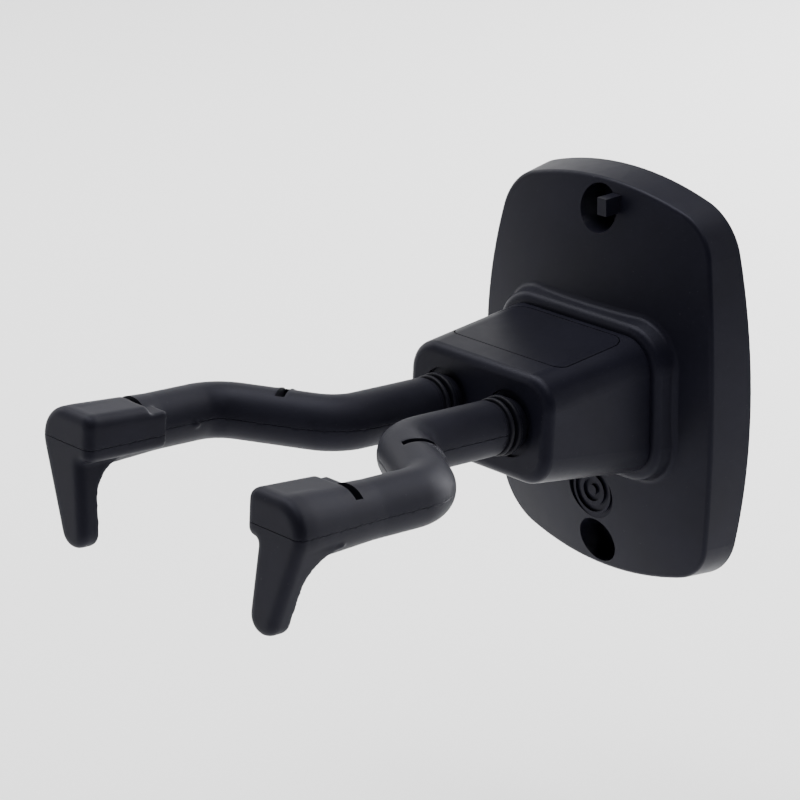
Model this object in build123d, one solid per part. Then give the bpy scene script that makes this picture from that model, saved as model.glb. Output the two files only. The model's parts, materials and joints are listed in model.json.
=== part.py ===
from build123d import *
import math
import os

# Wall guitar hanger, in millimetres.
# Origin: centre of the plate's wall face, midway between the two wall screws.  +Y goes into the
# wall, -Y into the room, +X is to the right of a person who faces the hanger, +Z is up.
# A "reach" is a distance from the wall.  The yoke arms and everything on their axles are drawn
# level, along -Y, in the axle frame, and AXLE_FRAME then lifts them by the arms' upward tilt.

# ---- driving dimensions: wall plate ----
PLATE_HALF_WIDTH = 39.5
PLATE_HALF_HEIGHT = 51.5
PLATE_SIDE_RADIUS = 166.0
PLATE_END_RADIUS = 86.0
PLATE_CORNER_RADIUS = 14.0
PLATE_DRAFT = 1.5
PLATE_REACH = 16.1
PLATE_RIM_REACH = 11.0
CROWN_RADIUS = 212.0
PLATE_WALL = 3.0
PLATE_EDGE_ROUND = 1.2
RIB_THICKNESS = 2.0
RIB_SETBACK = 1.5
RIB_X = 14.0
RIB_Z = 31.0

# ---- driving dimensions: wall screw holes and medallion ----
SCREW_SPACING = 88.6
SCREW_HOLE_RADIUS = 2.6
HEAD_WELL_RADIUS = 6.1
WELL_TOWER_RADIUS = 8.6
WELL_FLOOR = 3.0
WELL_TAB_REACH = (7.0, 15.6)
WELL_TAB_PLACE = (5.2, 2.2)
WELL_TAB_SIZE = (3.0, 4.4)
MEDALLION_Z = -30.0
MEDALLION_RADIUS = 7.6
MEDALLION_DEPTH = 1.3
MEDALLION_RING_HEIGHT = 0.7
MEDALLION_RINGS = ((6.5, 5.8), (4.2, 3.0), (1.4, 0.0))

# ---- driving dimensions: boss ----
BOSS_REACH = 53.8
BOSS_REAR_REACH = 18.5
BOSS_HALF_WIDTH = (25.3, 24.4)
BOSS_TOP = (17.2, 15.1)
BOSS_BOTTOM = (-18.3, -11.8)
BOSS_CORNER_RADIUS = 8.0
BOSS_EDGE_ROUND = 2.6
BOSS_WALL = 2.6
BOSS_FRONT_WALL = 5.0
BOSS_SPARE = 6.1
COLLAR_WIDTH = 2.3
COLLAR_REACH = 19.2
COLLAR_ROUND = 2.2
COLLAR_DRAFT = 14.0
COLLAR_FOOT_ROUND = 1.6
BUSH_RECESS = (8.3, 0.9)

# ---- driving dimensions: lid in the boss's top ----
LID_REACH = (20.6, 44.3)
LID_HALF_WIDTH = 19.3
LID_FRONT_CORNER = 3.0
LID_REAR_CORNER = 5.0
LID_SKIN = 1.5
LID_GAP = 0.25
LID_LEDGE = 1.6
LID_LEG = (7.0, 1.3)
LID_LEG_X = 11.0
LID_LEG_BOTTOM = (13.2, 8.0)

# ---- driving dimensions: axles and arms ----
ARM_TILT = 5.0
AXLE_Z_AT_WALL = -2.65
AXLE_X = 11.15
ARM_X = 38.3
ROD_RADIUS = 4.0
ROD_BACK_REACH = 20.4
ROD_FRONT_REACH = 145.0
BEND_RADIUS = 11.0
BEND_ANGLE = 60.0
BEND_START_REACH = 82.3
SLEEVE_RADIUS = 6.86
SLEEVE_BACK_REACH = 60.2
SLEEVE_BORE_GAP = 0.08
TURN_LIMIT = 45.0

# ---- driving dimensions: hook end of a sleeve, drawn level in the axle frame ----
HOOK_FACE_REACH = 150.0
FACE_ROUND = 2.3
HEAD_RADIUS = 7.9
HEAD_FLARE_REACH = (124.0, 144.8)
FINGER_TIP = (34.2, -20.9)
FINGER_TIP_RADIUS = 4.5
FINGER_NOTCH = (31.6, -3.6)
FINGER_NOTCH_ROUND = 1.0
FINGER_DEPTH = 5.2
FINGER_BACK_ROUND = 2.0
WEB_HOLLOW = (135.8, -13.4)
WEB_HOLLOW_RADIUS = 9.0
LUG_INNER_X = 28.0
LUG_BACK_REACH = 127.0
LUG_STEP_REACH = 131.6
LUG_STEP_TOP = 5.7
LUG_CORNERS = (2.4, 2.8)
SLOT_WIDTH = (2.4, 2.2)
SLOT_REACH = (94.8, 130.5)
SLOT_HALF_CHORD = (3.9, 5.0)
SLOT_FLOOR = 2.6
SLOT_ROD_GAP = 0.3
MID_BEND_X = 23.6

# ---- driving dimensions: bearings and the stack on each axle ----
RUNNING_GAP = 0.07
BODY_GAP = 0.3
FIT_GAP = 0.04
BUSH_RADIUS = 6.0
BUSH_NECK_RADIUS = 6.4
BUSH_FLANGE_RADIUS = 7.4
BUSH_FLANGE_REACH = (55.8, 57.2)
THRUST_RING_RADIUS = 7.1
THRUST_RIB_REACH = (58.2, 59.3)
BEARING_PLATE_SIZE = (43.4, 26.0)
BEARING_PLATE_CORNER = 5.0
BEARING_PLATE_REACH = (24.0, 27.0)
REAR_FLANGE_THICKNESS = 1.1
CLIP_RADIUS = 6.2
CLIP_THICKNESS = 1.0
CLIP_GROOVE_RADIUS = 3.2
SPRING_WASHER_REACH = (27.4, 29.8)
WASHER_SHEET = 0.6
FRICTION_DISC_THICKNESS = 1.5
COLLAR_REAR_REACH = 31.5
STOP_COLLAR_LENGTH = 7.0
STOP_COLLAR_RADIUS = 6.5
STOP_LUG_RADIUS = 9.5
STOP_LUG_HALF_ANGLE = 15.0
STOP_PIN_RADIUS = 1.25
SPACER_RADIUS = 5.6
STOP_RIB_THICKNESS = 2.0
STOP_RIB_TOP = -2.0
STOP_PIN_SHORTER = 0.6
RING_BODY_SHORTER = 0.2
RING_EDGE_ROUND = 0.4
WASHER_FLAT = 0.5
CLIP_MOUTH = (5.2, 4.0, 11.4)

# ---- driving dimensions: bearing plate posts and screws ----
POST_RADIUS = 3.0
POST_PLACES = ((-19.3, 8.0), (19.3, 8.0), (-19.3, -10.0), (19.3, -10.0))
POST_SCREW_RADIUS = 1.4
POST_SCREW_LENGTH = 12.0
POST_SCREW_CLEARANCE = 0.16
POST_SCREW_HEAD = (2.8, 1.9)
POST_SCREW_DRIVE = (0.8, 1.8, 3.4)

AXLE_FRAME = Pos(0, 0, AXLE_Z_AT_WALL) * Rot(-ARM_TILT, 0, 0)
OVERLAP = 1.0
BIG = 200.0


# ---- shared shapes ----
def at_reach(reach):
    """Drawing plane parallel to the wall: its X is X, its Y is Z, and it faces the room."""
    return Plane.XZ.offset(reach)


def bar(x, z, radius, reach_from, reach_to):
    """Round bar square to the wall."""
    return extrude(at_reach(reach_from) * Pos(x, z) * Circle(radius), reach_to - reach_from)


def ring(x, outer, inner, reach_from, reach_to):
    """Round ring on an axle."""
    bore = bar(x, 0, inner, reach_from - OVERLAP, reach_to + OVERLAP)
    return bar(x, 0, outer, reach_from, reach_to) - bore


def lifted(shape):
    """Tilt a shape drawn level on the axles to where the arms really point."""
    return AXLE_FRAME * shape


def room_side(reach):
    """Everything between the wall and a face square to the axles at this reach."""
    return lifted(extrude(at_reach(-BIG) * Rectangle(BIG, BIG), BIG + reach))


# ---- wall housing ----
def barrel_outline(grow):
    """Barrel-shaped plate outline: two side arcs and two end arcs, joined by corner arcs."""
    half_w, half_h = PLATE_HALF_WIDTH + grow, PLATE_HALF_HEIGHT + grow
    side_r, end_r = PLATE_SIDE_RADIUS + grow, PLATE_END_RADIUS + grow
    corner_r = PLATE_CORNER_RADIUS + grow
    side_c, end_c = Vector(half_w - side_r, 0), Vector(0, half_h - end_r)
    to_side, to_end = side_r - corner_r, end_r - corner_r
    across = end_c - side_c
    along = (to_side**2 - to_end**2 + across.length**2) / (2 * across.length)
    up = math.sqrt(to_side**2 - along**2)
    unit = across.normalized()
    corner_c = side_c + unit * along + Vector(-unit.Y, unit.X) * up
    side_end = side_c + (corner_c - side_c).normalized() * side_r
    end_end = end_c + (corner_c - end_c).normalized() * end_r
    bulge = corner_c + ((side_end + end_end) * 0.5 - corner_c).normalized() * corner_r
    edges = []
    for turn in (1, -1):
        side_x, side_z = turn * side_end.X, turn * side_end.Y
        end_x, end_z = turn * end_end.X, turn * end_end.Y
        bulge_x, bulge_z = turn * bulge.X, turn * bulge.Y
        edges += [
            ThreePointArc((side_x, -side_z), (turn * half_w, 0), (side_x, side_z)),
            ThreePointArc((side_x, side_z), (bulge_x, bulge_z), (end_x, end_z)),
            ThreePointArc((end_x, end_z), (0, turn * half_h), (-end_x, end_z)),
            ThreePointArc((-end_x, end_z), (-bulge_x, bulge_z), (-side_x, side_z)),
        ]
    return make_face(Wire(edges))


def crowned_block(grow_at_wall, thinner):
    """Drafted plate block under its crowned front."""
    draft_angle = math.degrees(math.atan(PLATE_DRAFT / PLATE_RIM_REACH))
    block = extrude(Plane.XZ * barrel_outline(grow_at_wall), 2 * PLATE_RIM_REACH, taper=draft_angle)
    crown = Pos(0, CROWN_RADIUS - PLATE_REACH, 0) * Sphere(CROWN_RADIUS - thinner)
    return block & crown


def plate_shell():
    """Hollow plate, open towards the wall, with stiffening ribs."""
    block = crowned_block(PLATE_DRAFT, 0)
    rim = block.edges().filter_by(lambda e: e.center().Y < -PLATE_RIM_REACH / 2)
    block = fillet(rim, PLATE_EDGE_ROUND)
    hollow = crowned_block(PLATE_DRAFT - PLATE_WALL, PLATE_WALL)
    ribs = []
    for side in (-1, 1):
        ribs.append(Pos(side * RIB_X, 0, 0) * Box(RIB_THICKNESS, BIG, BIG))
        ribs.append(Pos(0, 0, side * RIB_Z) * Box(BIG, BIG, RIB_THICKNESS))
    ribs = Part() + ribs
    ribs = ribs & extrude(at_reach(RIB_SETBACK) * Rectangle(BIG, BIG), BIG)
    return block - (hollow - ribs)


def boss_section(reach, grow):
    """Rounded boss section at a reach, made larger or smaller all round by grow."""
    part_way = (reach - BOSS_REAR_REACH) / (BOSS_REACH - BOSS_REAR_REACH)
    half_w = BOSS_HALF_WIDTH[0] + (BOSS_HALF_WIDTH[1] - BOSS_HALF_WIDTH[0]) * part_way + grow
    top = BOSS_TOP[0] + (BOSS_TOP[1] - BOSS_TOP[0]) * part_way + grow
    bottom = BOSS_BOTTOM[0] + (BOSS_BOTTOM[1] - BOSS_BOTTOM[0]) * part_way - grow
    outline = RectangleRounded(2 * half_w, top - bottom, BOSS_CORNER_RADIUS + grow)
    return at_reach(reach) * Pos(0, (top + bottom) / 2) * outline


def boss_block(grow, from_reach, to_reach):
    """Tapered boss block, ending in a face square to the axles."""
    sections = [boss_section(from_reach, grow), boss_section(BOSS_REACH + BOSS_SPARE, grow)]
    return loft(sections, ruled=True) & room_side(to_reach)


def boss_outer():
    """Outside of the boss with its front edge rounded."""
    block = boss_block(0, RIB_SETBACK, BOSS_REACH)
    front = block.faces().sort_by(Axis.Y)[0]
    return fillet(front.edges(), BOSS_EDGE_ROUND)


def boss_collar():
    """Rounded, drafted collar where the boss leaves the plate."""
    section = boss_section(COLLAR_REACH, COLLAR_WIDTH)
    block = extrude(section, PLATE_RIM_REACH - COLLAR_REACH, taper=-COLLAR_DRAFT)
    front = block.faces().sort_by(Axis.Y)[0]
    return fillet(front.edges(), COLLAR_ROUND)


def plate_with_collar():
    """Plate and collar, with a soft round where the collar leaves the plate's front."""
    joined = plate_shell() + boss_collar()
    inside_x = PLATE_HALF_WIDTH - PLATE_RIM_REACH + COLLAR_WIDTH
    foot = joined.edges().filter_by(
        lambda e: e.bounding_box().min.Y > -PLATE_REACH
        and e.bounding_box().max.Y < PLATE_WALL - PLATE_REACH
        and e.bounding_box().max.X < inside_x
        and e.bounding_box().min.X > -inside_x
        and abs(e.center().Z) < -MEDALLION_Z - OVERLAP)
    return fillet(foot, COLLAR_FOOT_ROUND)


def lid_prism(shrink):
    """Upright prism over the lid's outline."""
    rear, front = LID_REACH[0] + shrink, LID_REACH[1] - shrink
    half_w = LID_HALF_WIDTH - shrink
    outline = Pos(0, -(rear + front) / 2) * Rectangle(2 * half_w, front - rear)
    outline = fillet(outline.vertices().group_by(Axis.Y)[0], LID_FRONT_CORNER)
    outline = fillet(outline.vertices().group_by(Axis.Y)[-1], LID_REAR_CORNER - shrink)
    return extrude(outline, BIG)


def boss_skin(depth):
    """Layer of the boss's outside, depth thick when measured straight down."""
    outer = boss_outer()
    return outer - Pos(0, 0, -depth) * outer


def wall_screw_well(z):
    """Solid tower around a wall screw, with a well for the screw's head."""
    tower = bar(0, z, WELL_TOWER_RADIUS, 0, BIG) & crowned_block(PLATE_DRAFT, PLATE_WALL / 2)
    well = bar(0, z, HEAD_WELL_RADIUS, WELL_FLOOR, BIG)
    hole = bar(0, z, SCREW_HOLE_RADIUS, -OVERLAP, BIG)
    return tower, well + hole


def well_tab():
    """Small moulded tab that narrows the upper well on its right, just under the front face."""
    z = SCREW_SPACING / 2
    low, high = WELL_TAB_REACH
    place = at_reach(low) * Pos(WELL_TAB_PLACE[0], z + WELL_TAB_PLACE[1])
    tab = extrude(place * Rectangle(*WELL_TAB_SIZE), high - low)
    return tab & bar(0, z, WELL_TOWER_RADIUS, 0, BIG)


def medallion():
    """Plain round medallion: a shallow recess with raised rings and a centre dot."""
    floor = PLATE_REACH - MEDALLION_Z**2 / (2 * CROWN_RADIUS) - MEDALLION_DEPTH
    recess = bar(0, MEDALLION_Z, MEDALLION_RADIUS, floor, BIG)
    raised = []
    for outer, inner in MEDALLION_RINGS:
        band = bar(0, MEDALLION_Z, outer, floor - MEDALLION_RING_HEIGHT, floor + MEDALLION_RING_HEIGHT)
        if inner:
            band -= bar(0, MEDALLION_Z, inner, 0, BIG)
        raised.append(band)
    return recess, Part() + raised


def bearing_posts():
    """Posts behind the boss's front wall that the bearing plate is screwed to."""
    posts, pilots = [], []
    for x, z in POST_PLACES:
        posts.append(bar(x, z, POST_RADIUS, BEARING_PLATE_REACH[1], BOSS_REACH - OVERLAP))
        pilots.append(bar(x, z, POST_SCREW_RADIUS + FIT_GAP, BEARING_PLATE_REACH[1] - OVERLAP,
                          BEARING_PLATE_REACH[1] + POST_SCREW_LENGTH))
    return lifted(Part() + posts), lifted(Part() + pilots)


def stop_ribs():
    """Ribs on the cavity floor that the stop collars' lugs meet at each end of the turn."""
    tip_angle = math.radians(TURN_LIMIT + STOP_LUG_HALF_ANGLE)
    clear = STOP_LUG_RADIUS * math.sin(tip_angle) + BODY_GAP
    centre_z = STOP_RIB_TOP - BIG / 2
    ribs = []
    for side in (-1, 1):
        x = side * (AXLE_X + clear + STOP_RIB_THICKNESS / 2)
        ribs.append(Pos(x, 0, centre_z) * Box(STOP_RIB_THICKNESS, BIG, BIG))
    ribs.append(Pos(0, 0, centre_z) * Box(2 * (AXLE_X - clear), BIG, BIG))
    length = extrude(at_reach(COLLAR_REAR_REACH) * Rectangle(BIG, BIG), BIG)
    return lifted(Part() + ribs) & lifted(length)


def make_wall_housing():
    """Plate, collar and boss in one moulding, hollow from behind."""
    outer = plate_with_collar() + boss_outer()
    cavity = boss_block(-BOSS_WALL, -OVERLAP, BOSS_REACH - BOSS_FRONT_WALL)
    posts, pilots = bearing_posts()
    fittings = (posts + stop_ribs()) & boss_block(-BOSS_WALL / 2, RIB_SETBACK, BOSS_REACH - OVERLAP)
    housing = outer - cavity + fittings - pilots
    for side in (-1, 1):
        x = side * AXLE_X
        housing -= lifted(bar(x, 0, BUSH_RADIUS, BOSS_REACH - 2 * BOSS_FRONT_WALL, BIG))
        housing -= lifted(bar(x, 0, BUSH_RECESS[0], BOSS_REACH - BUSH_RECESS[1], BIG))
        tower, well = wall_screw_well(side * SCREW_SPACING / 2)
        housing = housing + tower - well
    housing += well_tab()
    recess, raised = medallion()
    housing = housing - recess + raised
    housing -= boss_skin(LID_SKIN) & lid_prism(0)
    housing -= lid_prism(LID_LEDGE) - cavity
    return housing


def make_boss_lid():
    """Flush cover with four snap legs, following the boss's rounded shoulders."""
    skin = boss_skin(LID_SKIN - LID_GAP / 2) & lid_prism(LID_GAP)
    width, thickness = LID_LEG
    inset = LID_LEDGE + LID_GAP + thickness / 2
    reaches = (LID_REACH[0] + inset, LID_REACH[1] - inset)
    legs = []
    for reach, bottom in zip(reaches, LID_LEG_BOTTOM):
        for side in (-1, 1):
            legs.append(Pos(side * LID_LEG_X, -reach, bottom + BIG / 2) * Box(width, thickness, BIG))
    legs = (Part() + legs) & boss_block(-LID_SKIN / 2, RIB_SETBACK, BOSS_REACH)
    return skin + legs


# ---- bearings ----
def make_bearing_plate():
    """Steel plate with the two rear bores and four screw holes."""
    rear, front = BEARING_PLATE_REACH
    outline = RectangleRounded(BEARING_PLATE_SIZE[0], BEARING_PLATE_SIZE[1], BEARING_PLATE_CORNER)
    plate = extrude(at_reach(rear) * outline, front - rear)
    for side in (-1, 1):
        plate -= bar(side * AXLE_X, 0, BUSH_RADIUS, rear - OVERLAP, front + OVERLAP)
    for x, z in POST_PLACES:
        plate -= bar(x, z, POST_SCREW_RADIUS + POST_SCREW_CLEARANCE, rear - OVERLAP, front + OVERLAP)
    return lifted(plate)


def make_bearing_plate_screws():
    """Four pan-head screws, driven from behind."""
    rear = BEARING_PLATE_REACH[0]
    head_radius, head_height = POST_SCREW_HEAD
    screws = []
    for x, z in POST_PLACES:
        shank = bar(x, z, POST_SCREW_RADIUS, rear - head_height, rear + POST_SCREW_LENGTH)
        head = bar(x, z, head_radius, rear - head_height, rear)
        edge = head.edges().sort_by(Axis.Y)[-1]
        slot = Box(*POST_SCREW_DRIVE)
        drive = Pos(x, -(rear - head_height), z) * (slot + Rot(0, 90, 0) * slot)
        screws.append(lifted(fillet(edge, head_height / 3) + shank - drive))
    return Compound(children=screws)


def make_front_bush(side):
    """Flanged nylon bush in the boss's front wall."""
    x = side * AXLE_X
    bush = bar(x, 0, BUSH_RADIUS - FIT_GAP, BOSS_REACH - BOSS_FRONT_WALL, BOSS_REACH)
    bush += bar(x, 0, BUSH_NECK_RADIUS, BOSS_REACH, BUSH_FLANGE_REACH[1])
    flange = bar(x, 0, BUSH_FLANGE_RADIUS, *BUSH_FLANGE_REACH)
    bush += fillet(flange.edges(), (BUSH_FLANGE_REACH[1] - BUSH_FLANGE_REACH[0]) / 3)
    return lifted(bush - bar(x, 0, ROD_RADIUS + RUNNING_GAP, 0, BIG))


def make_rear_bush(side):
    """Flanged nylon bush in the bearing plate."""
    x = side * AXLE_X
    rear, front = BEARING_PLATE_REACH
    bush = bar(x, 0, BUSH_RADIUS - FIT_GAP, rear, front)
    bush += bar(x, 0, BUSH_FLANGE_RADIUS, rear - REAR_FLANGE_THICKNESS, rear)
    return lifted(bush - bar(x, 0, ROD_RADIUS + RUNNING_GAP, 0, BIG))


# ---- yoke arms: everything that turns on one axle ----
def arm_line(side, reach_from, reach_to):
    """Centre line of an arm: straight out, an S-bend outwards, and straight on."""
    angle = math.radians(BEND_ANGLE)
    arc_out, arc_on = BEND_RADIUS * (1 - math.cos(angle)), BEND_RADIUS * math.sin(angle)
    slant = (ARM_X - AXLE_X - 2 * arc_out) / math.sin(angle)
    half_out, half_on = BEND_RADIUS * (1 - math.cos(angle / 2)), BEND_RADIUS * math.sin(angle / 2)
    second = BEND_START_REACH + arc_on + slant * math.cos(angle)
    end = second + arc_on
    first_x, last_x = side * AXLE_X, side * ARM_X
    start = (first_x, -BEND_START_REACH)
    leave = (first_x + side * arc_out, -BEND_START_REACH - arc_on)
    enter = (last_x - side * arc_out, -second)
    edges = [
        Line((first_x, -reach_from), start),
        ThreePointArc(start, (first_x + side * half_out, -BEND_START_REACH - half_on), leave),
        Line(leave, enter),
        ThreePointArc(enter, (last_x - side * half_out, -end + half_on), (last_x, -end)),
        Line((last_x, -end), (last_x, -reach_to)),
    ]
    return Wire(edges)


def bent_bar(side, radius, reach_from, reach_to):
    """Round bar along an arm's centre line."""
    section = at_reach(reach_from) * Pos(side * AXLE_X, 0) * Circle(radius)
    return sweep(section, path=arm_line(side, reach_from, reach_to))


def make_arm_rod(side):
    """Bent steel rod with a clip groove and a cross hole."""
    rod = bent_bar(side, ROD_RADIUS, ROD_BACK_REACH, ROD_FRONT_REACH)
    rear = BEARING_PLATE_REACH[0] - REAR_FLANGE_THICKNESS - BODY_GAP - CLIP_THICKNESS
    rod -= ring(side * AXLE_X, ROD_RADIUS + OVERLAP, CLIP_GROOVE_RADIUS, rear, rear + CLIP_THICKNESS)
    rod -= pin_shape(side, STOP_PIN_RADIUS + FIT_GAP)
    return lifted(rod)


def touching_line(centre_1, radius_1, centre_2, radius_2, side):
    """Where the line that touches two circles on their +X (side 1) or -X side meets each of them."""
    first, second = Vector(*centre_1), Vector(*centre_2)
    way = (second - first).normalized()
    share = (radius_1 - radius_2) / (second - first).length
    out = Vector(-way.Y, way.X) * side * math.sqrt(1 - share**2) + way * share
    return first + out * radius_1, second + out * radius_2


def hook_outline():
    """Right hook seen from the room: round head, finger narrowing to a round tip, and inner lug."""
    head = (ARM_X, 0.0)
    outer_top, outer_low = touching_line(head, HEAD_RADIUS, FINGER_TIP, FINGER_TIP_RADIUS, 1)
    notch, inner_low = touching_line(FINGER_NOTCH, 0, FINGER_TIP, FINGER_TIP_RADIUS, -1)
    tip_bottom = Vector(FINGER_TIP[0], FINGER_TIP[1] - FINGER_TIP_RADIUS)
    crown, flank = Vector(ARM_X, HEAD_RADIUS), Vector(ARM_X + HEAD_RADIUS, 0)
    lug_low, lug_high = Vector(LUG_INNER_X, notch.Y), Vector(LUG_INNER_X, HEAD_RADIUS)
    edges = [
        ThreePointArc(crown, flank, outer_top),
        Line(outer_top, outer_low),
        ThreePointArc(outer_low, tip_bottom, inner_low),
        Line(inner_low, notch),
        Line(notch, lug_low),
        Line(lug_low, lug_high),
        Line(lug_high, crown),
    ]
    outline = make_face(Wire(edges))
    radii = (FINGER_NOTCH_ROUND, *LUG_CORNERS)
    for corner, radius in zip((notch, lug_low, lug_high), radii):
        nearest = outline.vertices().sort_by_distance(corner)[0]
        outline = fillet(nearest, radius)
    return outline


def hook_face():
    """Front of the hook: the whole outline, as thick as the finger, with all its edges rounded."""
    back = HOOK_FACE_REACH - FINGER_DEPTH
    body = extrude(at_reach(back) * hook_outline(), FINGER_DEPTH)
    body = fillet(body.faces().sort_by(Axis.Y)[0].edges(), FACE_ROUND)
    return fillet(body.faces().sort_by(Axis.Y)[-1].edges(), FINGER_BACK_ROUND)


def finger_web():
    """Full-width web behind the finger, hollowed by an arc that runs into the sleeve's underside."""
    reach, height = WEB_HOLLOW
    front = HOOK_FACE_REACH - FACE_ROUND
    body = extrude(at_reach(reach) * hook_outline(), front - reach)
    body = body & Pos(0, 0, FINGER_NOTCH[1] - BIG / 2) * Box(BIG, 2 * BIG, BIG)
    hollow = Pos(0, -reach, height) * Cylinder(WEB_HOLLOW_RADIUS, BIG, rotation=(0, 90, 0))
    behind = Pos(0, BIG / 2 - reach - WEB_HOLLOW_RADIUS, height - BIG / 2) * Box(BIG, BIG, BIG)
    return body - hollow - behind


def lug():
    """Inner lug block behind the hook's face, level with the sleeve's crown, with a lower rear step."""
    low, front = FINGER_NOTCH[1], HOOK_FACE_REACH - FACE_ROUND
    step_crown = SLEEVE_RADIUS + (LUG_STEP_REACH - HEAD_FLARE_REACH[0]) * flare_slope()
    corners = [(LUG_BACK_REACH, low), (front, low), (front, HEAD_RADIUS), (LUG_STEP_REACH, step_crown),
               (LUG_STEP_REACH, LUG_STEP_TOP), (LUG_BACK_REACH, LUG_STEP_TOP)]
    side_view = Polyline(*[(-reach, height) for reach, height in corners], close=True)
    block = extrude(Plane.YZ.offset(LUG_INNER_X) * make_face(side_view), ARM_X - LUG_INNER_X)
    inner = block.edges().filter_by(lambda e: e.bounding_box().max.X < LUG_INNER_X + FIT_GAP)
    long_edges = inner.filter_by(lambda e: e.length > LUG_STEP_REACH - LUG_BACK_REACH + OVERLAP)
    lower, upper = long_edges.filter_by(Axis.Z, reverse=True).sort_by(Axis.Z)
    block = fillet(lower, LUG_CORNERS[0])
    return fillet(block.edges().sort_by_distance(upper.center())[0], LUG_CORNERS[1])


def flare_slope():
    """Growth of the sleeve's radius per millimetre of reach, towards the head."""
    return (HEAD_RADIUS - SLEEVE_RADIUS) / (HEAD_FLARE_REACH[1] - HEAD_FLARE_REACH[0])


def top_slot(x, reach, angle, width, half_chord):
    """Arched slot across the top of a sleeve, down to just above the steel rod."""
    depth = SLEEVE_RADIUS * 2
    cut = Pos(0, 0, SLOT_FLOOR + depth / 2) * Box(width, 2 * half_chord, depth)
    cut -= Cylinder(ROD_RADIUS + SLOT_ROD_GAP, BIG, rotation=(0, 90, 0))
    return Pos(x, -reach, 0) * Rot(0, 0, angle) * cut


def make_arm_sleeve(side):
    """Moulded rubber sleeve and hook over one rod."""
    front = HOOK_FACE_REACH - FACE_ROUND
    flare_from, flare_to = HEAD_FLARE_REACH
    sleeve = bent_bar(1, SLEEVE_RADIUS, SLEEVE_BACK_REACH, front)
    start = at_reach(flare_from) * Pos(ARM_X, 0) * Circle(SLEEVE_RADIUS)
    sleeve += extrude(start, flare_to - flare_from, taper=-math.degrees(math.atan(flare_slope())))
    sleeve += bar(ARM_X, 0, HEAD_RADIUS, flare_to, front)
    sleeve += hook_face() + finger_web() + lug()
    sleeve -= top_slot(MID_BEND_X, SLOT_REACH[0], BEND_ANGLE - 90, SLOT_WIDTH[0], SLOT_HALF_CHORD[0])
    sleeve -= top_slot(ARM_X, SLOT_REACH[1], -90, SLOT_WIDTH[1], SLOT_HALF_CHORD[1])
    sleeve -= bent_bar(1, ROD_RADIUS + SLEEVE_BORE_GAP, SLEEVE_BACK_REACH - OVERLAP,
                       ROD_FRONT_REACH + SLEEVE_BORE_GAP)
    if side < 0:
        sleeve = mirror(sleeve, about=Plane.YZ)
    return lifted(sleeve)


def make_thrust_ring(side):
    """Ribbed ring between the sleeve and the front bush."""
    x = side * AXLE_X
    body = ring(x, BUSH_NECK_RADIUS - RING_BODY_SHORTER, ROD_RADIUS + FIT_GAP,
                BUSH_FLANGE_REACH[1] + BODY_GAP, SLEEVE_BACK_REACH - FIT_GAP)
    rib = ring(x, THRUST_RING_RADIUS, ROD_RADIUS + OVERLAP, *THRUST_RIB_REACH)
    outer = rib.edges().filter_by(GeomType.CIRCLE).sort_by(lambda e: e.radius)[-2:]
    return lifted(body + fillet(outer, RING_EDGE_ROUND))


def make_spring_washer(side):
    """Domed spring washer that presses the friction disc forwards."""
    x = side * AXLE_X
    rear, front = SPRING_WASHER_REACH
    inner, outer = ROD_RADIUS + 2 * FIT_GAP, BUSH_FLANGE_RADIUS
    profile = Polyline((inner, -rear), (inner + WASHER_FLAT, -rear), (outer, -front + WASHER_SHEET),
                       (outer, -front), (outer - WASHER_FLAT, -front), (inner, -rear - WASHER_SHEET),
                       close=True)
    washer = revolve(make_face(profile), Axis.Y)
    return lifted(Pos(x, 0, 0) * washer)


def make_friction_disc(side):
    """Fibre disc between the spring washer and the stop collar."""
    front = COLLAR_REAR_REACH
    disc = ring(side * AXLE_X, BUSH_FLANGE_RADIUS, ROD_RADIUS + FIT_GAP, front - FRICTION_DISC_THICKNESS,
                front)
    return lifted(disc)


def pin_shape(side, radius):
    """Cross pin through the collar and the rod."""
    reach = COLLAR_REAR_REACH + STOP_COLLAR_LENGTH / 2
    return Pos(side * AXLE_X, -reach, 0) * Cylinder(radius, 2 * STOP_COLLAR_RADIUS - STOP_PIN_SHORTER)


def make_stop_collar(side):
    """Steel collar whose lug limits the turn."""
    x = side * AXLE_X
    front = COLLAR_REAR_REACH + STOP_COLLAR_LENGTH
    collar = bar(x, 0, STOP_COLLAR_RADIUS, COLLAR_REAR_REACH, front)
    half = math.radians(STOP_LUG_HALF_ANGLE)
    dx, dz = STOP_LUG_RADIUS * math.sin(half), STOP_LUG_RADIUS * math.cos(half)
    edges = [Line((x, 0), (x - dx, -dz)),
             ThreePointArc((x - dx, -dz), (x, -STOP_LUG_RADIUS), (x + dx, -dz)),
             Line((x + dx, -dz), (x, 0))]
    collar += extrude(at_reach(COLLAR_REAR_REACH) * make_face(edges), STOP_COLLAR_LENGTH)
    collar -= bar(x, 0, ROD_RADIUS + FIT_GAP, 0, BIG)
    return lifted(collar - pin_shape(side, STOP_PIN_RADIUS + FIT_GAP))


def make_stop_pin(side):
    """Pin that keys the collar to the rod."""
    return lifted(pin_shape(side, STOP_PIN_RADIUS))


def make_spacer_tube(side):
    """Tube that carries the spring's push from the collar to the front bush."""
    tube = ring(side * AXLE_X, SPACER_RADIUS, ROD_RADIUS + FIT_GAP, COLLAR_REAR_REACH + STOP_COLLAR_LENGTH,
                BOSS_REACH - BOSS_FRONT_WALL - BODY_GAP)
    return lifted(tube)


def make_retaining_clip(side):
    """E-clip in the groove behind the rear bush."""
    x = side * AXLE_X
    front = BEARING_PLATE_REACH[0] - REAR_FLANGE_THICKNESS - BODY_GAP
    rear = front - CLIP_THICKNESS
    clip = ring(x, CLIP_RADIUS, CLIP_GROOVE_RADIUS + FIT_GAP, rear + FIT_GAP, front - FIT_GAP)
    mouth = Pos(x, -rear, -CLIP_RADIUS) * Box(*CLIP_MOUTH)
    return lifted(clip - mouth)


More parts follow.
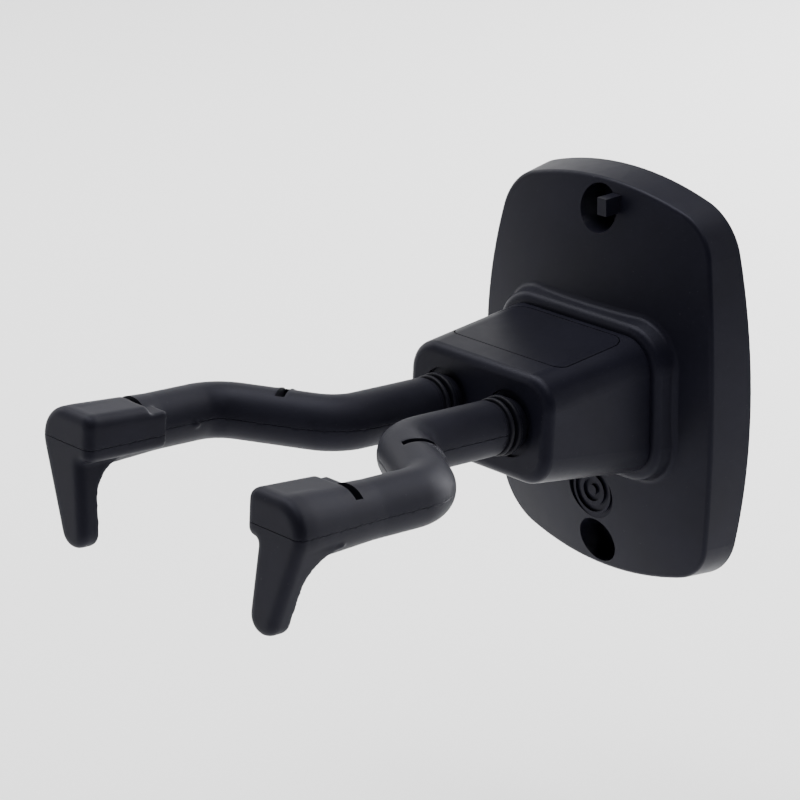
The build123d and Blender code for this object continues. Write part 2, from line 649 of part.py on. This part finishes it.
PIECES = {
    "wall_housing": make_wall_housing,
    "boss_lid": make_boss_lid,
    "bearing_plate": make_bearing_plate,
    "bearing_plate_screws": make_bearing_plate_screws,
}
HANDED_PIECES = {
    "front_bush": make_front_bush,
    "rear_bush": make_rear_bush,
    "arm_rod": make_arm_rod,
    "arm_sleeve": make_arm_sleeve,
    "thrust_ring": make_thrust_ring,
    "spacer_tube": make_spacer_tube,
    "stop_collar": make_stop_collar,
    "stop_pin": make_stop_pin,
    "friction_disc": make_friction_disc,
    "spring_washer": make_spring_washer,
    "retaining_clip": make_retaining_clip,
}

os.makedirs("parts", exist_ok=True)
for name, make in PIECES.items():
    export_step(make(), f"parts/{name}.step")
for name, make in HANDED_PIECES.items():
    for hand, side in (("left", -1), ("right", 1)):
        export_step(make(side), f"parts/{hand}_{name}.step")
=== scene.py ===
# %% [markdown]
# Wall guitar hanger: a moulded plate is screwed to the wall, its boss holds two steel axles, and a
# bent, rubber-covered yoke arm turns on each.  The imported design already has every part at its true
# size and place.  This lesson gives each part its finish, and remakes the two rubber mouldings so
# that their corners flow into each other as they do out of a mould.

# %% Load the fixed design
import json
import math

import bpy
from mathutils import Matrix, Vector

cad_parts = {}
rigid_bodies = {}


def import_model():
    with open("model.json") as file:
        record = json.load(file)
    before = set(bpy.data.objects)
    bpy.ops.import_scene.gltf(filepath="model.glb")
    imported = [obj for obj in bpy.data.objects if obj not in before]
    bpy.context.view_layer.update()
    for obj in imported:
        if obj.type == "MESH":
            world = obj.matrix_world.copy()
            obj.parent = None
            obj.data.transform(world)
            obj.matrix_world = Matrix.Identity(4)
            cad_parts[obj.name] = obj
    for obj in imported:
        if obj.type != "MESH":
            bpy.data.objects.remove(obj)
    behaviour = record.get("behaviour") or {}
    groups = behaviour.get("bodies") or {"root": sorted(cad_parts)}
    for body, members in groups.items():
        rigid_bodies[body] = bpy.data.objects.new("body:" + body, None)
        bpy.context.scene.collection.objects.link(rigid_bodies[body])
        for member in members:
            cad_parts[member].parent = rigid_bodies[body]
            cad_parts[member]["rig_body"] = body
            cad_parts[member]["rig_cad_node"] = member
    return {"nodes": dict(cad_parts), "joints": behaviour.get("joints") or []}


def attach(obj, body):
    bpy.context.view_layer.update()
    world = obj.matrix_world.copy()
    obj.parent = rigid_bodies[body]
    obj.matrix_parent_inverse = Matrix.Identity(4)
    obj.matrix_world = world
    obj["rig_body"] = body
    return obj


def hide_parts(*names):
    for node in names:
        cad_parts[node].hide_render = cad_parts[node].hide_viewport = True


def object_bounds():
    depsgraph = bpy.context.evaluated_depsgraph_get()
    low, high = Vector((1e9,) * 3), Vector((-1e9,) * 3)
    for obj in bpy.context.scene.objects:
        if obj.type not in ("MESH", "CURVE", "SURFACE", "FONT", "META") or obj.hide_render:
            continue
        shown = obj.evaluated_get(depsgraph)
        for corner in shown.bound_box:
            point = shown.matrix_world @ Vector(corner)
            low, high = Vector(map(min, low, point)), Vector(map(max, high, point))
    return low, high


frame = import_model()
CAD_BOX = [list(corner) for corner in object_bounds()]
NODES = frame["nodes"]
JOINTS = {joint["name"]: joint for joint in frame["joints"]}
MM = 0.001
print("design box, metres:", CAD_BOX)


# %% [markdown]
# The camera and the lights come first, because every later choice of colour and gloss is judged
# through them.  Product shots of small black parts use a long lens from a metre away, so that the
# sides stay nearly parallel.  The camera is placed by its bearing round the part, its height angle
# and its distance, as a tripod would be.

# %% Camera
CAMERA_BEARING = math.radians(48.0)
CAMERA_HEIGHT = math.radians(20.62)
CAMERA_ROLL = math.radians(-1.13)
CAMERA_DISTANCE = 0.7665
CAMERA_LENS = 144.7
AIM = Vector((-0.0043, -0.0744, 0.0095))


def outward(bearing, height):
    """Direction from the part towards a tripod at this bearing and height angle."""
    flat = math.cos(height)
    return Vector((math.sin(bearing) * flat, -math.cos(bearing) * flat, math.sin(height)))


camera_data = bpy.data.cameras.new("camera")
camera_data.lens = CAMERA_LENS
camera = bpy.data.objects.new("camera", camera_data)
bpy.context.scene.collection.objects.link(camera)
bpy.context.scene.camera = camera
back = outward(CAMERA_BEARING, CAMERA_HEIGHT)
right = Vector((math.cos(CAMERA_BEARING), math.sin(CAMERA_BEARING), 0))
level = Matrix((right, back.cross(right), back)).transposed().to_4x4()
camera.matrix_world = Matrix.Translation(AIM + back * CAMERA_DISTANCE) @ level @ Matrix.Rotation(CAMERA_ROLL, 4, "Z")
print("camera stands at", [round(c, 3) for c in camera.matrix_world.translation])


# %% [markdown]
# Black plastic shows its form only by what it reflects.  Broad white panels round the part give long
# soft highlights, and a white floor below lights the undersides of the arms.  One more panel behind
# them faces away from the part and only keeps the far floor as pale as the near floor.

# %% Floor and lights
FLOOR_DROP = 0.075
FLOOR_SIZE = 14.0
FAR_FLOOR = 3.0


def deselect():
    """Nothing selected, so that the next operator works on the new piece alone."""
    if bpy.context.object and bpy.context.object.mode != "OBJECT":
        bpy.ops.object.mode_set(mode="OBJECT")
    bpy.ops.object.select_all(action="DESELECT")


def soft_panel(name, bearing, height, distance, size, power, target=AIM):
    """Square area light that faces the part."""
    data = bpy.data.lights.new(name, "AREA")
    data.shape, data.size, data.energy = "SQUARE", size, power
    lamp = bpy.data.objects.new(name, data)
    bpy.context.scene.collection.objects.link(lamp)
    away = outward(math.radians(bearing), math.radians(height))
    lamp.location = target + away * distance
    lamp.rotation_euler = away.to_track_quat("Z", "Y").to_euler()
    return lamp


deselect()
bpy.ops.mesh.primitive_plane_add(size=FLOOR_SIZE, location=(0, 0, CAD_BOX[0][2] - FLOOR_DROP))
floor = bpy.context.object
floor.name = "floor"

world = bpy.data.worlds.new("studio")
bpy.context.scene.world = world
world.use_nodes = True
world.node_tree.nodes["Background"].inputs["Color"].default_value = (1, 1, 1, 1)
world.node_tree.nodes["Background"].inputs["Strength"].default_value = 0.05
PANELS = (  # name, bearing, height angle, watts
    ("back_panel", 180, 12, 36),
    ("back_top_panel", 180, 72, 4),
    ("back_left_panel", 225, 12, 3.5),
    ("left_panel", 270, 12, 4.5),
    ("left_high_panel", 270, 40, 4.5),
    ("left_top_panel", 270, 72, 15),
    ("right_top_panel", 90, 72, 7),
    ("right_panel", 135, 12, 3),
    ("front_panel", 315, 12, 2.5),
    ("front_low_panel", 0, 12, 1.5),
)
for name, bearing, height, watts in PANELS:
    soft_panel(name, bearing, height, 1.2, 0.8, watts)
far_floor = Vector((0, FAR_FLOOR, CAD_BOX[0][2] - FLOOR_DROP))
soft_panel("far_floor_panel", 0, 35, 1.7, 1.6, 90, far_floor)
print("floor and", len(bpy.data.lights), "soft panels")


# %% [markdown]
# Moulded plastic isn't a flat colour.  The tool's fine spark-eroded texture scatters the light, its
# depth changes a little from place to place, handling polishes some patches, and dust settles.
# Each of those is one small group of nodes that reads the part's own coordinates, so that the
# pattern keeps its real size in millimetres and never slides.

# %% Node helpers
PER_MM = 1000.0


class Finish:
    """Builds one material's nodes and keeps count of them."""

    def __init__(self, name):
        self.material = bpy.data.materials.new(name)
        self.material.use_nodes = True
        self.nodes = self.material.node_tree.nodes
        self.links = self.material.node_tree.links
        self.shader = self.nodes["Principled BSDF"]
        self.place = self.nodes.new("ShaderNodeTexCoord").outputs["Object"]

    def add(self, kind, **inputs):
        """New node; a value is set on its socket, and another node's socket is linked."""
        node = self.nodes.new(kind)
        for name, value in inputs.items():
            self.feed(node.inputs[name.replace("_", " ")], value)
        return node

    def feed(self, socket, value):
        """Set a socket, or link another node's output to it."""
        if isinstance(value, bpy.types.NodeSocket):
            self.links.new(value, socket)
        else:
            socket.default_value = value

    def noise(self, size_mm, detail=3.0, roughness=0.5, stretch=(1, 1, 1)):
        """Noise whose features are about size_mm across."""
        mapping = self.add("ShaderNodeMapping", Vector=self.place, Scale=stretch)
        node = self.add("ShaderNodeTexNoise", Vector=mapping.outputs["Vector"],
                        Scale=PER_MM / size_mm, Detail=detail, Roughness=roughness)
        return node.outputs["Fac"]

    def ramp(self, value, *stops):
        """Colour ramp through (position, grey or colour) stops."""
        node = self.add("ShaderNodeValToRGB", Fac=value)
        elements = node.color_ramp.elements
        while len(elements) < len(stops):
            elements.new(0.5)
        for element, (position, tone) in zip(elements, stops):
            element.position = position
            element.color = (tone, tone, tone, 1) if isinstance(tone, float) else (*tone, 1)
        return node.outputs["Color"]

    def mix(self, factor, one, two):
        """Mix two colours."""
        node = self.nodes.new("ShaderNodeMix")
        node.data_type = "RGBA"
        self.feed(node.inputs[0], factor)
        self.feed(node.inputs[6], one if isinstance(one, bpy.types.NodeSocket) else (*one, 1))
        self.feed(node.inputs[7], two if isinstance(two, bpy.types.NodeSocket) else (*two, 1))
        return node.outputs[2]

    def maths(self, operation, one, two=0.0):
        """Arithmetic on two values."""
        node = self.nodes.new("ShaderNodeMath")
        node.operation = operation
        self.feed(node.inputs[0], one)
        self.feed(node.inputs[1], two)
        return node.outputs[0]

    def bump(self, height, depth_mm, strength=1.0, under=None):
        """Bump of a real depth, on top of another bump if one is given."""
        node = self.add("ShaderNodeBump", Strength=strength, Distance=depth_mm * MM, Height=height)
        if under is not None:
            self.feed(node.inputs["Normal"], under)
        return node.outputs["Normal"]

    def finish(self, **inputs):
        """Set or link the shader's own sockets."""
        for name, value in inputs.items():
            if isinstance(value, tuple) and len(value) == 3:
                value = (*value, 1)
            self.feed(self.shader.inputs[name.replace("_", " ")], value)
        print(f"{self.material.name}: {len(self.nodes)} nodes")
        return self.material


def paint(material, *nodes):
    """Give one material to several design nodes."""
    for name in nodes:
        NODES[name].data.materials.clear()
        NODES[name].data.materials.append(material)


# %% [markdown]
# The plate, the boss and the lid are one shade of black nylon, moulded with a fine satin texture.
# The lid comes from its own tool, so it is a touch glossier.  A little blue in the black and a soft
# grain of a fifth of a millimetre give the real material's look.

# %% Satin moulded plastic
COOL_TINT = (0.80, 0.80, 1.0)


def moulded_plastic(name, tone, roughness, grain_depth):
    """Satin black plastic with spark-eroded grain, uneven polish and a little dust."""
    look = Finish(name)
    broad = look.noise(22.0, 2.0)
    grain = look.noise(0.22, 2.0, 0.6)
    swirl = look.noise(3.5, 4.0, 0.55, (1, 1, 0.5))
    dust = look.ramp(look.noise(0.5, 1.0, 0.4), (0.76, 0.0), (0.84, 1.0))
    light = tuple(c * 1.35 for c in tone)
    colour = look.mix(look.ramp(broad, (0.35, 0.0), (0.7, 1.0)), tone, light)
    colour = look.mix(look.maths("MULTIPLY", dust, 0.07), colour, (0.32, 0.32, 0.33))
    uneven = look.maths("ADD", look.maths("MULTIPLY", swirl, 0.10), roughness - 0.05)
    uneven = look.maths("ADD", uneven, look.maths("MULTIPLY", dust, 0.15))
    normal = look.bump(swirl, 0.02, 0.35)
    normal = look.bump(grain, grain_depth, 0.6, normal)
    return look.finish(Base_Color=colour, Roughness=uneven, Normal=normal, IOR=1.5, Specular_IOR_Level=0.10,
                       Specular_Tint=COOL_TINT)


housing_plastic = moulded_plastic("satin_black_nylon", (0.0048, 0.0048, 0.0085), 0.40, 0.012)
lid_plastic = moulded_plastic("lid_black_nylon", (0.0044, 0.0044, 0.0078), 0.38, 0.009)
paint(housing_plastic, "wall_housing")
paint(lid_plastic, "boss_lid")


# %% [markdown]
# The bushes and the thrust rings are turned from black nylon bar.  Turning leaves fine rings round
# the axle, and a faint mottling varies the tone and the gloss.

# %% Turned nylon
TILT_AXIS = Vector(JOINTS["right_arm_turn"]["axis"])
ARM_TILT = math.atan2(TILT_AXIS.z, -TILT_AXIS.y)


def turned(name, tone, roughness, metallic=0.0, line_mm=0.35, gloss=0.5):
    """Lathe-turned finish: fine bands along the axle direction, and a faint mottling."""
    look = Finish(name)
    along = look.add("ShaderNodeMapping", Vector=look.place, Rotation=(ARM_TILT, 0, 0))
    bands = look.add("ShaderNodeTexWave", Vector=along.outputs["Vector"], Scale=PER_MM / line_mm / 20,
                     Distortion=0.4, Detail=1.0)
    bands.bands_direction = "Y"
    mottle = look.noise(1.6, 3.0)
    colour = look.mix(look.ramp(mottle, (0.3, 0.0), (0.75, 1.0)), tone, tuple(min(c * 1.3, 1) for c in tone))
    rough = look.maths("ADD", look.maths("MULTIPLY", mottle, 0.14), roughness - 0.07)
    normal = look.bump(bands.outputs["Fac"], 0.02, 0.4)
    return look.finish(Base_Color=colour, Roughness=rough, Metallic=metallic, Normal=normal,
                       Specular_IOR_Level=gloss)


bush_nylon = turned("bush_black_nylon", (0.0045, 0.0045, 0.0075), 0.45, gloss=0.08)
ring_nylon = turned("ring_black_nylon", (0.0065, 0.0065, 0.0100), 0.42, gloss=0.10)
spacer_nylon = turned("natural_nylon", (0.62, 0.60, 0.54), 0.45)
collar_steel = turned("turned_collar_steel", (0.44, 0.44, 0.45), 0.32, 1.0)
rod_steel = turned("drawn_rod_steel", (0.40, 0.40, 0.41), 0.28, 1.0, 0.6)
spring_steel = turned("blued_spring_steel", (0.16, 0.18, 0.24), 0.30, 1.0)
for hand in ("left", "right"):
    paint(bush_nylon, f"{hand}_front_bush", f"{hand}_rear_bush")
    paint(ring_nylon, f"{hand}_thrust_ring")
    paint(spacer_nylon, f"{hand}_spacer_tube")
    paint(collar_steel, f"{hand}_stop_collar")
    paint(rod_steel, f"{hand}_arm_rod", f"{hand}_stop_pin")
    paint(spring_steel, f"{hand}_spring_washer", f"{hand}_retaining_clip")


# %% [markdown]
# The bearing plate and its screws are zinc plated: a bright metal with a blotchy, faintly blue and
# yellow bloom.  The friction discs are vulcanised fibre, a red-brown board pressed from paper.

# %% Zinc plate and fibre
def zinc(name, roughness):
    """Zinc-plated steel with a passivated bloom."""
    look = Finish(name)
    bloom = look.ramp(look.noise(6.0, 3.0), (0.3, (0.62, 0.64, 0.68)), (0.55, (0.68, 0.67, 0.62)),
                      (0.75, (0.58, 0.61, 0.67)))
    spangle = look.noise(0.8, 2.0)
    rough = look.maths("ADD", look.maths("MULTIPLY", spangle, 0.2), roughness - 0.1)
    return look.finish(Base_Color=bloom, Roughness=rough, Metallic=1.0, Normal=look.bump(spangle, 0.015, 0.5))


def fibre(name):
    """Red-brown fibre board with a flat, felted grain."""
    look = Finish(name)
    felt = look.noise(0.6, 4.0, 0.65)
    colour = look.mix(felt, (0.20, 0.075, 0.04), (0.36, 0.15, 0.08))
    return look.finish(Base_Color=colour, Roughness=0.82, Normal=look.bump(felt, 0.05, 0.6))


paint(zinc("zinc_on_plate", 0.36), "bearing_plate")
paint(zinc("zinc_on_screws", 0.30), "bearing_plate_screws")
paint(fibre("red_brown_fibre"), "left_friction_disc", "right_friction_disc")


# %% [markdown]
# Each arm is covered by one soft moulding: a sleeve, a hook head, an inner lug and a down-turned
# finger.  Out of a real mould these flow into each other, with no knife-sharp inner corners.  The
# design's solid has the right size everywhere, so a copy of it is made into one even skin of small
# faces, and its inner corners are relaxed.  Two short tubes first close the slots across the top,
# because relaxing would blunt their edges, and they are cut again afterwards.  The small round stub
# on each arm's inner side is where the rubber was let into the mould.

# %% Helpers for working on an arm
AXLE_HEIGHT = JOINTS["right_arm_turn"]["pos_m"][2]


def on_arm(x, reach, height, turn=0.0):
    """A place on an arm, in millimetres: x across, reach from the wall, height over the axles."""
    lift = Matrix.Translation((0, 0, AXLE_HEIGHT)) @ Matrix.Rotation(-ARM_TILT, 4, "X")
    return lift @ Matrix.Translation(Vector((x, -reach, height)) * MM) @ Matrix.Rotation(turn, 4, "Z")


def modify(piece, kind, **settings):
    """Add a modifier, set it, and apply it."""
    modifier = piece.modifiers.new(kind.lower(), kind)
    for name, value in settings.items():
        setattr(modifier, name, value)
    bpy.context.view_layer.objects.active = piece
    bpy.ops.object.modifier_apply(modifier=modifier.name)


def primitive(kind, where, **size):
    """A primitive at a place, with the place moved into its mesh."""
    deselect()
    getattr(bpy.ops.mesh, f"primitive_{kind}_add")(**size)
    piece = bpy.context.object
    piece.matrix_world = where
    bpy.ops.object.transform_apply()
    return piece


def cut(piece, cutter):
    """Cut a shape out of a piece, and throw the cutter away."""
    modify(piece, "BOOLEAN", object=cutter, operation="DIFFERENCE", solver="EXACT")
    bpy.data.objects.remove(cutter)


# %% Copy, close the slots and skin over
SKIN_VOXEL = 0.38 * MM
RELAX_ROUNDS = 8
ALONG_ARM = Matrix.Rotation(math.radians(90), 4, "X")
ROUND_SIDES = 96
PLUG_WALL = 2.4
PLUG_OVERLAP = 1.0
SLOTS = (  # x, reach, turn, width, half length, sleeve radius at its rear and front
    (23.6, 94.8, math.radians(60), 2.4, 3.9, (6.86, 6.86)),
    (38.3, 130.5, 0.0, 2.2, 5.0, (7.105, 7.265)),
)
GATE_PLACE = (31.4, 115.1, -0.4)
GATE_RADIUS = 0.85
GATE_LENGTH = 1.1
GATE_SIDES = 32


def working_copy(node, name):
    """Copy of a design node with its loose triangles merged."""
    deselect()
    piece = NODES[node].copy()
    piece.data = NODES[node].data.copy()
    piece.name = name
    piece.parent = None
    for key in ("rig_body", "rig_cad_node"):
        piece.pop(key, None)
    bpy.context.scene.collection.objects.link(piece)
    piece.select_set(True)
    bpy.context.view_layer.objects.active = piece
    bpy.ops.object.mode_set(mode="EDIT")
    bpy.ops.mesh.select_all(action="SELECT")
    bpy.ops.mesh.remove_doubles(threshold=0.002 * MM)
    bpy.ops.object.mode_set(mode="OBJECT")
    return piece


def join(piece, extra):
    """Make an extra shape part of a piece."""
    deselect()
    extra.select_set(True)
    piece.select_set(True)
    bpy.context.view_layer.objects.active = piece
    bpy.ops.object.join()


def close_slots(piece, side):
    """Put a short tube over each slot, in line with the sleeve."""
    for x, reach, turn, width, _, radii in SLOTS:
        plug = primitive("cone", on_arm(side * x, reach, 0, side * turn) @ ALONG_ARM, vertices=ROUND_SIDES,
                         radius1=radii[0] * MM, radius2=radii[1] * MM, depth=(width + PLUG_OVERLAP) * MM,
                         end_fill_type="NOTHING")
        modify(plug, "SOLIDIFY", thickness=PLUG_WALL * MM, offset=-1)
        join(piece, plug)


def add_gate_stub(piece, side):
    """Small round stub on the neck's side of the sleeve, with its axis along X."""
    where = on_arm(side * GATE_PLACE[0], *GATE_PLACE[1:]) @ Matrix.Rotation(math.radians(90), 4, "Y")
    join(piece, primitive("cylinder", where, vertices=GATE_SIDES, radius=GATE_RADIUS * MM, depth=GATE_LENGTH * MM))


def skin_over(piece):
    """One even skin of small faces, with its inner corners relaxed."""
    modify(piece, "REMESH", mode="VOXEL", voxel_size=SKIN_VOXEL, use_smooth_shade=True)
    modify(piece, "SMOOTH", factor=0.5, iterations=RELAX_ROUNDS)


# %% [markdown]
# The rod is held in the mould by small cores while the rubber flows round it, and each core leaves a
# slot across the top of the sleeve.  The mould's two halves meet at the height of the rod, and leave
# a fine line there all the way round.  The line is three cuts side by side, with the middle one
# pressed in.

# %% Slots and parting line
SLOT_FLOOR = 2.6
SLOT_DEPTH = 9.0
CORE_RADIUS = 4.3
CORE_LENGTH = 20.0
LINE_HALF_WIDTH = 0.15
LINE_DEPTH = 0.15
SHARP_ANGLE = math.radians(35)


def cut_slots(piece, side):
    """Cut each slot down to just above the rod."""
    for x, reach, turn, width, half_length, _ in SLOTS:
        size = Matrix.Diagonal(Vector((2 * half_length, width, SLOT_DEPTH, 1 / MM)) * MM)
        middle = on_arm(side * x, reach, SLOT_FLOOR + SLOT_DEPTH / 2, side * turn)
        cutter = primitive("cube", middle @ size, size=1)
        cut(cutter, primitive("cylinder", on_arm(side * x, reach, 0, side * turn) @ ALONG_ARM,
                              vertices=ROUND_SIDES, radius=CORE_RADIUS * MM, depth=CORE_LENGTH * MM))
        cut(piece, cutter)


def press_parting_line(piece):
    """Fine groove round the whole moulding at the height of the rod's middle."""
    deselect()
    bpy.context.view_layer.objects.active = piece
    piece.select_set(True)
    bpy.ops.object.mode_set(mode="EDIT")
    bpy.ops.mesh.select_mode(type="VERT")
    facing = on_arm(0, 0, 1).translation - on_arm(0, 0, 0).translation
    for height in (-LINE_HALF_WIDTH, LINE_HALF_WIDTH, 0.0):
        bpy.ops.mesh.select_all(action="SELECT")
        bpy.ops.mesh.bisect(plane_co=on_arm(0, 0, height).translation, plane_no=facing.normalized())
    bpy.ops.transform.shrink_fatten(value=-LINE_DEPTH * MM)
    bpy.ops.object.mode_set(mode="OBJECT")
    bpy.ops.object.shade_smooth_by_angle(angle=SHARP_ANGLE)


def soft_rubber(name):
    """Soft matt rubber: fine pores, handling marks and dust."""
    look = Finish(name)
    tone, pale = (0.0062, 0.0062, 0.0100), (0.0090, 0.0090, 0.0140)
    broad = look.noise(14.0, 3.0)
    pores = look.noise(0.30, 3.0, 0.6)
    lint = look.ramp(look.noise(0.75, 2.0, 0.5), (0.73, 0.0), (0.82, 1.0))
    colour = look.mix(look.ramp(broad, (0.35, 0.0), (0.7, 1.0)), tone, pale)
    colour = look.mix(look.maths("MULTIPLY", lint, 0.08), colour, (0.35, 0.35, 0.36))
    rough = look.maths("ADD", look.maths("MULTIPLY", broad, 0.12), 0.46)
    rough = look.maths("ADD", rough, look.maths("MULTIPLY", lint, 0.2))
    normal = look.bump(look.noise(2.4, 3.0), 0.06, 0.25)
    normal = look.bump(pores, 0.02, 0.6, normal)
    return look.finish(Base_Color=colour, Roughness=rough, Normal=normal, IOR=1.48, Specular_IOR_Level=0.12,
                       Specular_Tint=COOL_TINT)


sleeve_rubber = soft_rubber("soft_black_rubber")
for hand, side in (("left", -1), ("right", 1)):
    sleeve = working_copy(f"{hand}_arm_sleeve", f"{hand}_sleeve_moulding")
    close_slots(sleeve, side)
    add_gate_stub(sleeve, side)
    skin_over(sleeve)
    cut_slots(sleeve, side)
    press_parting_line(sleeve)
    sleeve.data.materials.clear()
    sleeve.data.materials.append(sleeve_rubber)
    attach(sleeve, f"{hand}_arm")
    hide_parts(f"{hand}_arm_sleeve")
    triangles = sum(len(face.vertices) - 2 for face in sleeve.data.polygons)
    print(sleeve.name, "has", len(sleeve.data.polygons), "faces,", triangles, "triangles")


# %% [markdown]
# The floor is a matt white paper sweep, plain enough to leave all the attention on the part.

# %% Paper floor
def paper(name):
    """Matt white paper with a barely visible fibre."""
    look = Finish(name)
    fibres = look.noise(1.5, 3.0)
    colour = look.mix(fibres, (0.93, 0.93, 0.93), (0.97, 0.97, 0.97))
    return look.finish(Base_Color=colour, Roughness=0.9, Normal=look.bump(fibres, 0.05, 0.2))


floor.data.materials.append(paper("floor_paper"))
